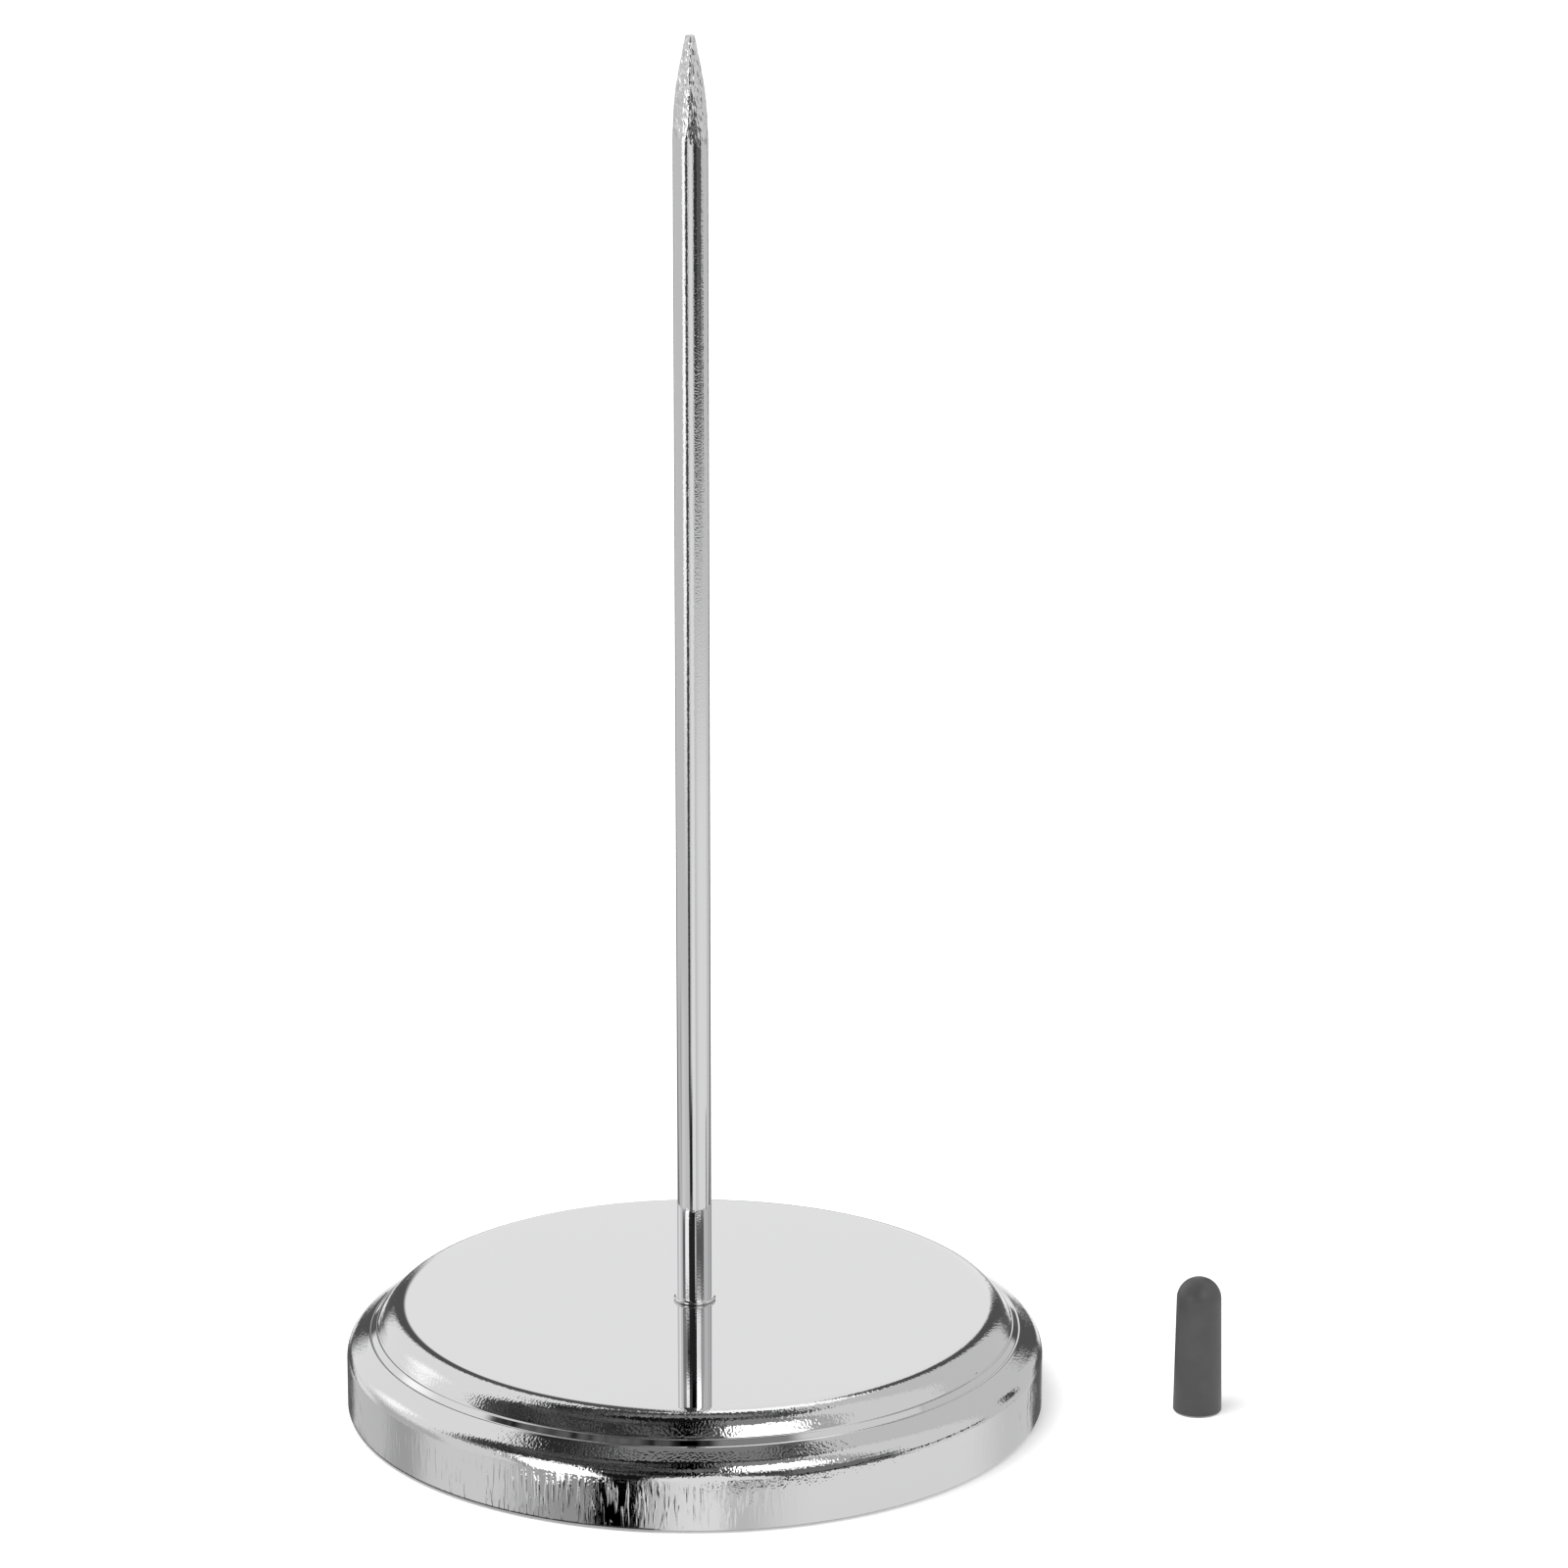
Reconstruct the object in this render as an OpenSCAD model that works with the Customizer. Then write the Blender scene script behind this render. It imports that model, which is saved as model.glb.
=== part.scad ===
// Receipt spike for a till counter: a chromed pressed-steel base with a cast-iron weight
// inside it, an upright pointed rod, and a soft tip cap that stands beside the base.
// Millimetres, +Z up. The origin is the centre of the base, on the counter.

/* [Base] */
// Diameter over the wall of the base
base_d = 82.2; // [70:0.1:100]
// Height of the plate above the counter
base_h = 12.75; // [12:0.05:18]
// Thickness of the pressed sheet
shell_t = 0.8; // [0.5:0.05:1]
// Radius of the round at the edge of the plate
upper_round = 3.4; // [2:0.1:4]
// Slope of the upper flank, in degrees from level
upper_slope = 55; // [45:1:70]
// Height of the band between the two flanks, at its upper edge, above the counter
band_h = 10.05; // [9.7:0.05:10.6]
// Height of the band at its foot, above the counter
band_foot_h = 9.45; // [9:0.05:9.8]
// Width of the band, seen from above
band_w = 0.95; // [0.7:0.05:1.5]
// Width of the fine ledge along each edge of the band
ledge_w = 0.2; // [0.1:0.05:0.3]
// Distance from the wall in to the foot of the band
step_w = 2.7; // [2:0.1:4]
// Slope of the lower flank, in degrees from level
lower_slope = 33; // [20:1:40]
// Radius of the round between the lower flank and the wall
lower_round = 2.4; // [1.5:0.1:3]

/* [Weight and non-slip disc] */
// Thickness of the non-slip disc
disc_t = 1.6; // [1:0.1:2.5]
// How far the disc stands out below the shell
disc_proud = 0.3; // [0.2:0.1:0.6]
// Radius on the edges of the disc
disc_edge = 0.25; // [0.1:0.05:0.4]
// How far the top of the weight's wide foot stays below the round above the wall
weight_drop = 0.6; // [0.3:0.1:2]
// Chamfer on the edges of the cast weight
weight_chamfer = 0.6; // [0.3:0.1:1]
// Diameter of the pocket for the nut under the weight
pocket_d = 11; // [9:0.5:18]

/* [Rod] */
// Height of the point above the counter
spike_h = 164; // [120:1:220]
// Diameter of the rod
rod_d = 4; // [3.6:0.1:4.4]
// Length of the four-sided point
point_l = 11.5; // [8:0.5:20]
// Width across the blunt end of the point
point_flat = 0.7; // [0.3:0.05:1.2]
// Outer diameter of the collar at the foot of the rod
collar_d = 4.9; // [4.8:0.1:7]
// Height of the collar
collar_h = 0.45; // [0.3:0.05:1]

/* [Fastening] */
// Major diameter of the turned-down, threaded foot of the rod
thread_d = 3; // [2.5:0.1:3.4]
// How far the thread comes out below the nut
thread_out = 0.6; // [0.3:0.1:1]
// Width of the nut across its flats
nut_flats = 5.5; // [5:0.1:6.5]
// Height of the nut
nut_h = 2.4; // [1.8:0.1:3]
// Outer diameter of the plain washer
washer_d = 7; // [6:0.5:8.5]
// Thickness of the plain washer
washer_t = 0.5; // [0.4:0.1:1]
// Outer diameter of the split spring washer
spring_d = 6.2; // [5.6:0.1:7]
// Thickness of the spring washer, pressed flat
spring_t = 0.8; // [0.5:0.1:1.1]
// Width of the slit in the spring washer
spring_slit = 0.7; // [0.4:0.1:1.2]

/* [Tip cap] */
// Height of the cap, standing on its mouth
cap_h = 16.65; // [12:0.05:25]
// Outer diameter at the mouth
cap_mouth_d = 5.84; // [5.6:0.02:7]
// Outer diameter at the dome
cap_dome_d = 5.28; // [5.2:0.02:5.6]
// Diameter of the bore
cap_bore_d = 4.2; // [4.1:0.05:4.5]
// Thickness of the crown above the bore
cap_crown = 3.65; // [3:0.05:5]
// Extra bore radius at the mouth
cap_flare = 0.12; // [0.05:0.01:0.2]
// Length of the flare inside the mouth
cap_flare_l = 1.5; // [0.5:0.1:3]
// Gap between the wall of the base and the mouth of the standing cap
cap_gap = 15.35; // [5:0.05:40]
// How far the cap stands towards the front of the base
cap_front = 3.2; // [-20:0.1:20]

/* [Clearances] */
// Radial gap between the weight and the shell, and between disc and shell
nest_gap = 0.3; // [0.1:0.05:0.6]
// Radial gap of the rod's foot in the holes of collar, shell and weight
hole_gap = 0.1; // [0.05:0.05:0.3]
// Radial gap of the washers round the thread
washer_gap = 0.2; // [0.1:0.05:0.4]
// Radial gap of the nut on the thread, which is drawn plain at its major diameter
nut_gap = 0.02; // [0.01:0.01:0.05]
// Height left free between the end of the thread and the disc
end_gap = 0.65; // [0.3:0.05:1]

/* [Hidden] */
$fn = 96;

// Overrun of every cut past the face it opens
cut = 0.5;

// Shell, worked out from the wall inwards: band, upper flank, upper round, plate
base_r = base_d / 2;
inner_r = base_r - shell_t;
rim_round = shell_t / 2;
under_plate_h = base_h - shell_t;
band_foot_r = base_r - step_w;
band_r = band_foot_r - band_w;
upper_round_z = base_h - upper_round;
flank_top_h = upper_round_z + upper_round * cos(upper_slope);
flank_top_r = band_r - (flank_top_h - band_h) / tan(upper_slope);
plate_r = flank_top_r - upper_round * sin(upper_slope);

// Shell, from the band outwards: lower flank, lower round, wall
lower_round_r = base_r - lower_round;
flank_foot_r = lower_round_r + lower_round * sin(lower_slope);
flank_foot_h = band_foot_h - (flank_foot_r - band_foot_r) * tan(lower_slope);
wall_top_h = flank_foot_h - lower_round * cos(lower_slope);

// Weight, whose drum stays inside the round under the plate
weight_r = inner_r - nest_gap;
weight_foot_top = wall_top_h - weight_drop;
weight_top_r = plate_r;

// Non-slip disc
disc_r = inner_r - nest_gap;

// Fastening, stacked from the disc up to the floor of the pocket
rod_r = rod_d / 2;
thread_r = thread_d / 2;
foot_hole_r = thread_r + hole_gap;
rod_end_h = disc_t + end_gap;
nut_z = rod_end_h + thread_out;
spring_z = nut_z + nut_h;
washer_z = spring_z + spring_t;
pocket_top_h = washer_z + washer_t;
nut_chamfer = (nut_flats / cos(30) - nut_flats) / 2 * tan(30);

// The rod's shoulder clamps the collar on the plate
shoulder_h = base_h + collar_h;

// Point: the faces stand off the axis by half of point_flat at the end, and by the
// rod's radius where they run out
point_base_h = spike_h - point_l;
point_turn = 43;

// Cap
cap_x = base_r + cap_gap + cap_mouth_d / 2;
cap_y = -cap_front;
cap_dome_r = cap_dome_d / 2;
cap_dome_z = cap_h - cap_dome_r;
cap_bore_r = cap_bore_d / 2;
cap_bore_l = cap_h - cap_crown;
cap_mouth_bore_r = cap_bore_r + cap_flare;

// Half outline of a drum whose upper edge is rounded
module drum_outline(r, z_low, z_top, edge) {
    translate([0, z_low])
        square([r - edge, z_top - z_low]);
    translate([0, z_low])
        square([r, z_top - edge - z_low]);
    translate([r - edge, z_top - edge])
        circle(r = edge);
}

// Flat ring with a plain hole
module ring(outer_d, hole_d, height) {
    difference() {
        cylinder(d = outer_d, h = height);
        translate([0, 0, -cut])
            cylinder(d = hole_d, h = height + 2 * cut);
    }
}

// Where the upper round, set in by a distance, runs into the upper flank
function upper_end(inset) = [
    plate_r + (upper_round - inset) * sin(upper_slope),
    upper_round_z + (upper_round - inset) * cos(upper_slope)
];

// Where the lower round, set in by a distance, runs into the lower flank
function lower_end(inset) = [
    lower_round_r + (lower_round - inset) * sin(lower_slope),
    wall_top_h + (lower_round - inset) * cos(lower_slope)
];

// Distance from the axis at which the two flanks meet, both set in by a distance
function meeting_r(inset) =
    (upper_end(inset)[1] - lower_end(inset)[1]
        + upper_end(inset)[0] * tan(upper_slope) - lower_end(inset)[0] * tan(lower_slope))
    / (tan(upper_slope) - tan(lower_slope));

// Corner between the two flanks, both set in by a distance
function meeting_point(inset) = [
    meeting_r(inset),
    upper_end(inset)[1] - (meeting_r(inset) - upper_end(inset)[0]) * tan(upper_slope)
];

// Filled half outline of the pressed form, set in by a distance. The points between the flanks
// run from the lower flank up to the upper one.
module pressed_form(inset, z_low, between) {
    polygon(concat(
        [[0, z_low], [base_r - inset, z_low], [base_r - inset, wall_top_h], lower_end(inset)],
        between,
        [upper_end(inset), [plate_r, base_h - inset], [0, base_h - inset]]
    ));
    translate([lower_round_r, wall_top_h])
        circle(r = lower_round - inset);
    translate([plate_r, upper_round_z])
        circle(r = upper_round - inset);
}

// Outside of the shell, with the band and its two fine ledges between the flanks
module shell_outside() {
    pressed_form(0, disc_proud + rim_round, [
        [band_foot_r, band_foot_h],
        [band_foot_r - ledge_w, band_foot_h],
        [band_r + ledge_w, band_h],
        [band_r, band_h]
    ]);
}

// Hollow of the shell, open below
module shell_inside() {
    pressed_form(shell_t, -cut, [meeting_point(shell_t)]);
}

module base_shell() {
    color([0.86, 0.86, 0.87])
    rotate_extrude($fn = 180) {
        difference() {
            shell_outside();
            shell_inside();
            // Hole for the rod
            square([foot_hole_r, base_h + cut]);
        }
        // Rounded rim at the foot of the wall
        translate([base_r - rim_round, disc_proud + rim_round])
            circle(r = rim_round);
    }
}

// Outline of the weight: a wide foot inside the wall and a drum under the plate
module weight_outline() {
    polygon([
        [0, disc_t],
        [weight_r - weight_chamfer, disc_t],
        [weight_r, disc_t + weight_chamfer],
        [weight_r, weight_foot_top - weight_chamfer],
        [weight_r - weight_chamfer, weight_foot_top],
        [weight_top_r, weight_foot_top],
        [weight_top_r, under_plate_h - weight_chamfer],
        [weight_top_r - weight_chamfer, under_plate_h],
        [0, under_plate_h]
    ]);
}

module ballast_disc() {
    color([0.25, 0.25, 0.26])
    rotate_extrude($fn = 180)
        difference() {
            weight_outline();
            // Hole for the rod
            square([foot_hole_r, under_plate_h + cut]);
            // Pocket for washers and nut
            translate([0, disc_t - cut])
                square([pocket_d / 2, pocket_top_h - disc_t + cut]);
        }
}

module non_slip_disc() {
    color([0.09, 0.09, 0.09])
    rotate_extrude($fn = 180) {
        square([disc_r - disc_edge, disc_t]);
        translate([0, disc_edge])
            square([disc_r, disc_t - 2 * disc_edge]);
        for (z = [disc_edge, disc_t - disc_edge])
            translate([disc_r - disc_edge, z])
                circle(r = disc_edge);
    }
}

// Wedge whose two faces close in on the axis towards the point
module point_wedge() {
    rotate([90, 0, 0])
        translate([0, 0, -rod_d])
            linear_extrude(height = 2 * rod_d)
                polygon([
                    [-point_flat / 2, spike_h],
                    [-rod_r, point_base_h],
                    [-rod_r - cut, point_base_h],
                    [-rod_r - cut, rod_end_h],
                    [rod_r + cut, rod_end_h],
                    [rod_r + cut, point_base_h],
                    [rod_r, point_base_h],
                    [point_flat / 2, spike_h]
                ]);
}

module spike() {
    color([0.8, 0.8, 0.81]) {
        intersection() {
            translate([0, 0, shoulder_h])
                cylinder(r = rod_r, h = spike_h - shoulder_h);
            rotate([0, 0, point_turn])
                point_wedge();
            rotate([0, 0, point_turn + 90])
                point_wedge();
        }
        translate([0, 0, rod_end_h])
            cylinder(r = thread_r, h = shoulder_h - rod_end_h);
    }
}

module foot_collar() {
    collar_r = collar_d / 2;
    collar_edge = (collar_r - rod_r) / 2;
    color([0.75, 0.75, 0.76])
    translate([0, 0, base_h])
        rotate_extrude()
            difference() {
                drum_outline(collar_r, 0, collar_h, min(collar_edge, collar_h / 2));
                square([foot_hole_r, collar_h + cut]);
            }
}

module plain_washer() {
    color([0.7, 0.7, 0.68])
    translate([0, 0, washer_z])
        ring(washer_d, thread_d + 2 * washer_gap, washer_t);
}

module spring_washer() {
    color([0.45, 0.45, 0.44])
    translate([0, 0, spring_z])
        difference() {
            ring(spring_d, thread_d + 2 * washer_gap, spring_t);
            translate([0, -spring_slit / 2, -cut])
                cube([spring_d, spring_slit, spring_t + 2 * cut]);
        }
}

module hex_nut() {
    nut_r = nut_flats / cos(30) / 2;
    color([0.7, 0.7, 0.68])
    translate([0, 0, nut_z])
        difference() {
            intersection() {
                cylinder(r = nut_r, h = nut_h, $fn = 6);
                // Chamfer that trims the six corners on both faces
                rotate_extrude()
                    polygon([
                        [0, 0],
                        [nut_flats / 2, 0],
                        [nut_r, nut_chamfer],
                        [nut_r, nut_h - nut_chamfer],
                        [nut_flats / 2, nut_h],
                        [0, nut_h]
                    ]);
            }
            translate([0, 0, -cut])
                cylinder(r = thread_r + nut_gap, h = nut_h + 2 * cut);
        }
}

module tip_cap() {
    color([0.29, 0.29, 0.29])
    translate([cap_x, cap_y, 0])
        rotate_extrude()
            difference() {
                union() {
                    polygon([
                        [0, 0],
                        [cap_mouth_d / 2, 0],
                        [cap_dome_r, cap_dome_z],
                        [0, cap_dome_z]
                    ]);
                    intersection() {
                        translate([0, cap_dome_z])
                            circle(r = cap_dome_r);
                        translate([0, cap_dome_z])
                            square(cap_dome_r);
                    }
                }
                square([cap_bore_r, cap_bore_l]);
                // Flare that leads the point into the bore
                polygon([
                    [0, -cut],
                    [cap_mouth_bore_r, -cut],
                    [cap_mouth_bore_r, 0],
                    [cap_bore_r, cap_flare_l],
                    [0, cap_flare_l]
                ]);
            }
}

base_shell();
ballast_disc();
non_slip_disc();
spike();
foot_collar();
plain_washer();
spring_washer();
hex_nut();
tip_cap();
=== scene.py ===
from math import atan2, ceil, cos, degrees, pi, radians, sin, tan

import bmesh
import bpy
from bpy.props import FloatProperty, FloatVectorProperty, PointerProperty
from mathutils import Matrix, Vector, noise


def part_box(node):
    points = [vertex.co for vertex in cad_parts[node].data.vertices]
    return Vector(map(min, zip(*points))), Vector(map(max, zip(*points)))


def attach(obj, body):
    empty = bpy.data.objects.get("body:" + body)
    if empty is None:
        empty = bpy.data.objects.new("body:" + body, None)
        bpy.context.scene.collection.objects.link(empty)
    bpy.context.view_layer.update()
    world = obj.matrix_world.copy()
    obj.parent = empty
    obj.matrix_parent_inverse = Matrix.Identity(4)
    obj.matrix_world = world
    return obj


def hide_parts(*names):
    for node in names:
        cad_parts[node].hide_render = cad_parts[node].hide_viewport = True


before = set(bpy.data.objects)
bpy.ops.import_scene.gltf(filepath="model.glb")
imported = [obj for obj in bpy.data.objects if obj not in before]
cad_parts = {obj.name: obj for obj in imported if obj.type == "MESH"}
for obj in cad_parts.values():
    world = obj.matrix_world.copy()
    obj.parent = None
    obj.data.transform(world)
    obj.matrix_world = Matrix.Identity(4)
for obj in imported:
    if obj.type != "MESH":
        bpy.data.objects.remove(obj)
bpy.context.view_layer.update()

bl_info = {
    "name": "Receipt Spike",
    "version": (1, 0, 0),
    "blender": (4, 5, 0),
    "location": "View3D > Sidebar > Receipt Spike",
    "description": "Chromed receipt spike with a loose tip cap, and a plain studio to look at it in",
    "category": "Object",
}

MM = 0.001


def srgb(hex_colour):
    """Linear RGB from an sRGB hex colour such as "DDDDDE"."""
    channels = [int(hex_colour[i : i + 2], 16) / 255 for i in (0, 2, 4)]
    return [c / 12.92 if c <= 0.04045 else ((c + 0.055) / 1.055) ** 2.4 for c in channels]


def length(name, description, default):
    """A size that a user may change, stored in metres."""
    return FloatProperty(name=name, description=description, default=default, unit="LENGTH", precision=5)


def angle(name, description, default):
    """An angle that a user may change, given here in degrees."""
    return FloatProperty(name=name, description=description, default=radians(default), subtype="ANGLE")


def colour(name, description, hex_colour):
    """A colour that a user may change, given as sRGB hex."""
    return FloatVectorProperty(
        name=name, description=description, default=srgb(hex_colour), min=0, max=1, subtype="COLOR"
    )


SHELL_LOW, SHELL_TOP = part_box("base_shell")
DISC_LOW, DISC_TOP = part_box("non_slip_disc")
SPIKE_LOW, SPIKE_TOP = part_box("spike")
COLLAR_LOW, COLLAR_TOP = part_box("foot_collar")
CAP_LOW, CAP_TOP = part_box("tip_cap")


class ShellSizes(bpy.types.PropertyGroup):
    """The pressed steel shell of the base."""

    wall_radius: length("Wall radius", "Radius over the wall", SHELL_TOP.x)
    sheet: length("Sheet", "Thickness of the pressed sheet", 0.8 * MM)
    crown: length("Crown", "Drop of the pressed plate from its middle to its edge", 0.2 * MM)
    upper_round: length("Upper round", "Radius at the edge of the plate", 3.4 * MM)
    upper_slope: angle("Upper slope", "Slope of the upper flank", 55)
    band_height: length("Band height", "Height of the upper edge of the band", 10.05 * MM)
    band_foot: length("Band foot", "Height of the lower edge of the band", 9.45 * MM)
    band_width: length("Band width", "Width of the band between the flanks", 0.95 * MM)
    ledge_width: length("Ledge width", "Width of the fine ledges along the band", 0.2 * MM)
    ledge_round: length("Ledge round", "How far the edges of the ledges are rounded", 0.09 * MM)
    step_width: length("Step width", "Distance from the wall in to the band", 2.7 * MM)
    lower_slope: angle("Lower slope", "Slope of the lower flank", 33)
    lower_round: length("Lower round", "Radius between lower flank and wall", 2.4 * MM)
    hole_radius: length("Hole radius", "Hole for the foot of the rod", 1.6 * MM)


class RodSizes(bpy.types.PropertyGroup):
    """The rod with its ground point and threaded foot."""

    radius: length("Rod radius", "Radius of the drawn rod", SPIKE_TOP.x)
    foot_radius: length("Foot radius", "Major radius of the thread", 1.5 * MM)
    thread_pitch: length("Thread pitch", "Coarse pitch of the foot's thread", 0.5 * MM)
    point_length: length("Point length", "Height over which the faces are ground", 11.5 * MM)
    tip_half: length("Tip half width", "Face distance from the axis at the very end", 0.354 * MM)
    point_turn: angle("Point turn", "Turn of the four faces", 43)
    lip_radius: length("Lip radius", "Radius of the collar's flared lip", COLLAR_TOP.x)
    collar_hole: length("Collar hole", "Hole of the collar", 1.6 * MM)


class CapSizes(bpy.types.PropertyGroup):
    """The soft cap for the point."""

    dome_radius: length("Dome radius", "Radius of the domed end", 2.64 * MM)
    bore_radius: length("Bore radius", "Radius of the bore", 2.1 * MM)
    crown: length("Crown", "Thickness above the bore", 3.65 * MM)
    flare: length("Flare", "Extra bore radius at the mouth", 0.12 * MM)
    flare_length: length("Flare length", "Length of the flare", 1.5 * MM)
    cut_edge: length("Cut edge", "Bevel that the trimming cut leaves round the mouth", 0.22 * MM)


class Finishes(bpy.types.PropertyGroup):
    """Colours and textures of the surfaces."""

    chrome: colour("Chrome", "Bright chrome plate", "DDDDDE")
    cast_iron: colour("Cast iron", "Sand-cast iron", "4B4A49")
    zinc: colour("Zinc", "Bright zinc plate", "B9BAB6")
    spring: colour("Spring steel", "Tempered steel", "6A6660")
    rubber: colour("Rubber", "Moulded rubber", "1B1B1B")
    vinyl: colour("Vinyl", "Dipped vinyl of the cap", "4A4A4B")
    # The lighter grey of the trimmed mouth is partly the cut face's own paler colour and partly a painted
    # highlight
    cut_vinyl_and_highlight: colour("Cut vinyl", "Trimmed mouth of the cap", "9A9A9A")
    peel_width: length("Peel width", "Width of the orange peel on the rounds", 0.26 * MM)
    peel_depth: length("Peel depth", "Depth of the orange peel on the rounds", 0.017 * MM)
    draw_width: length("Draw mark width", "Spacing of the draw marks on the wall", 0.5 * MM)
    draw_depth: length("Draw mark depth", "Depth of the draw marks on the wall", 0.1 * MM)


class Studio(bpy.types.PropertyGroup):
    """Camera, floor and light."""

    camera_side: length("Camera side", "Camera's distance to the right of the rod", 10.541 * MM)
    camera_back: length("Camera back", "Camera's distance in front of the rod", 804.027 * MM)
    camera_height: length("Camera height", "Camera's height above the counter", 320.47 * MM)
    camera_pitch: angle("Pitch", "Angle that the camera looks down", 16.893)
    focal_mm: FloatProperty(
        name="Focal length", description="On a 36 mm sensor", default=166.929, unit="CAMERA"
    )
    tent_radius: length("Tent radius", "Radius of the light tent", 1400 * MM)
    floor_half: length("Floor half", "Half the side of the floor", 3000 * MM)
    floor: colour("Floor", "Matt paper", "F4F4F4")
    paper_glow: FloatProperty(name="Paper glow", description="Light of the paper itself", default=0.3)
    daylight: FloatProperty(name="Daylight", description="Even light on matt surfaces", default=0.6)
    lamp_size: length("Lamp size", "Width of the overhead lamp", 1.0)
    lamp_power: FloatProperty(
        name="Lamp power", description="Power of the overhead lamp", default=14, unit="POWER"
    )
    lamp_place: FloatVectorProperty(
        name="Lamp place",
        description="Where the overhead lamp hangs",
        default=(-0.5, -0.3, 1.3),
        subtype="TRANSLATION",
    )


class ReceiptSpike(bpy.types.PropertyGroup):
    """All settings of the receipt spike."""

    shell: PointerProperty(type=ShellSizes)
    rod: PointerProperty(type=RodSizes)
    cap: PointerProperty(type=CapSizes)
    finish: PointerProperty(type=Finishes)
    studio: PointerProperty(type=Studio)


# Mesh tools

# Steps round each turned piece
TURN_STEPS = 360
DISC_STEPS = 180
CAP_STEPS = 128
COLLAR_STEPS = 96
# Angle in degrees from which an edge is sharp, and the one for the rod's ground faces
SHARP_EDGE = 35
GROUND_EDGE = 28


def smooth_step(value, low, high):
    """0 up to low, 1 from high on, and a smooth rise between the two."""
    t = max(0.0, min(1.0, (value - low) / (high - low)))
    return t * t * (3 - 2 * t)


def arc(centre, radius, start, end, steps):
    """Points on an arc in the half plane of a lathe, from one angle to another, in degrees."""
    angles = [radians(start + (end - start) * i / steps) for i in range(steps + 1)]
    return [(centre[0] + radius * cos(a), centre[1] + radius * sin(a)) for a in angles]


def add_ring(bm, points, height, centre=(0, 0)):
    """A level ring of vertices at (radius, angle) points about a vertical axis."""
    return [bm.verts.new((centre[0] + r * cos(a), centre[1] + r * sin(a), height)) for r, a in points]


def skin_rings(bm, rings):
    """Joins each ring of vertices to the next with faces. A ring of one vertex is a pole."""
    for lower, upper in zip(rings, rings[1:]):
        for k in range(max(len(lower), len(upper))):
            corners = [lower[k % len(lower)], lower[(k + 1) % len(lower)]]
            corners += [upper[(k + 1) % len(upper)], upper[k % len(upper)]]
            corners = list(dict.fromkeys(corners))
            if len(corners) > 2:
                bm.faces.new(corners)


def turned(outline, steps=TURN_STEPS, centre=(0, 0)):
    """A closed outline of (distance from the axis, height) points, turned about a vertical axis."""
    bm = bmesh.new()
    rings = []
    for radius, height in outline:
        count = steps if radius > 0 else 1
        rings.append(add_ring(bm, [(radius, 2 * pi * k / count) for k in range(count)], height, centre))
    skin_rings(bm, rings + rings[:1])
    return bm


def piece_from(bm, name, materials, body, nodes, sharp=SHARP_EDGE):
    """Makes a piece of the finished mesh, smooth but for edges over `sharp` degrees, puts it under the
    empty of its body, and hides the nodes that it stands in for."""
    bmesh.ops.recalc_face_normals(bm, faces=bm.faces)
    for face in bm.faces:
        face.smooth = True
    for edge in bm.edges:
        edge.smooth = edge.calc_face_angle(0) < radians(sharp)
    mesh = bpy.data.meshes.new(name)
    bm.to_mesh(mesh)
    bm.free()
    for material in materials:
        mesh.materials.append(material)
    piece = bpy.data.objects.new(name, mesh)
    bpy.context.scene.collection.objects.link(piece)
    # Large flat faces keep their own normal where they run into a round
    piece.modifiers.new("flat faces stay flat", "WEIGHTED_NORMAL").keep_sharp = True
    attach(piece, body)
    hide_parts(*nodes)


# Materials

SMOOTH = {"interpolation_type": "SMOOTHSTEP"}
# Roughness of chrome plate over a polished surface
POLISHED = 0.015


def add_node(tree, kind, inputs=(), output=0, **settings):
    """Adds a node, gives it its settings, sets or links its inputs, in order or by name, and returns
    one of its outputs."""
    node = tree.nodes.new(kind)
    for name, value in settings.items():
        setattr(node, name, value)
    if not isinstance(inputs, dict):
        inputs = dict(enumerate(inputs))
    for name, value in inputs.items():
        if isinstance(value, bpy.types.NodeSocket):
            tree.links.new(value, node.inputs[name])
        else:
            node.inputs[name].default_value = value
    return node.outputs[output] if node.outputs else None


def new_material(name):
    """An empty node material, its tree, and object coordinates, which are metres in the object's frame."""
    material = bpy.data.materials.new(name)
    material.use_nodes = True
    tree = material.node_tree
    tree.nodes.clear()
    return material, tree, add_node(tree, "ShaderNodeTexCoord", output="Object")


def grain(tree, place, width, stretch=(1, 1, 1), detail=2.0, rough=0.5):
    """Noise whose lumps are about `width` metres wide, drawn out along an axis by a small stretch value."""
    scaled = add_node(tree, "ShaderNodeVectorMath", (place, stretch), operation="MULTIPLY")
    settings = {"Vector": scaled, "Scale": 1 / width, "Detail": detail, "Roughness": rough}
    return add_node(tree, "ShaderNodeTexNoise", settings)


def surfaced(material, settings):
    """The material, with one surface of these settings."""
    tree = material.node_tree
    surface = add_node(tree, "ShaderNodeBsdfPrincipled", settings)
    add_node(tree, "ShaderNodeOutputMaterial", {"Surface": surface})
    return material


def bare_metal(material, tint, roughness, normal):
    """The material, with one metal surface."""
    settings = {"Base Color": (*tint, 1), "Metallic": 1.0, "Roughness": roughness, "Normal": normal}
    return surfaced(material, settings)


# Peel, draw marks, pimples and flakes are finer on the real plate than here, where they have to show

# Direction of the side where the drawing die was worn
WORN_SIDE = (-0.29, -0.957, 0)


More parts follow.
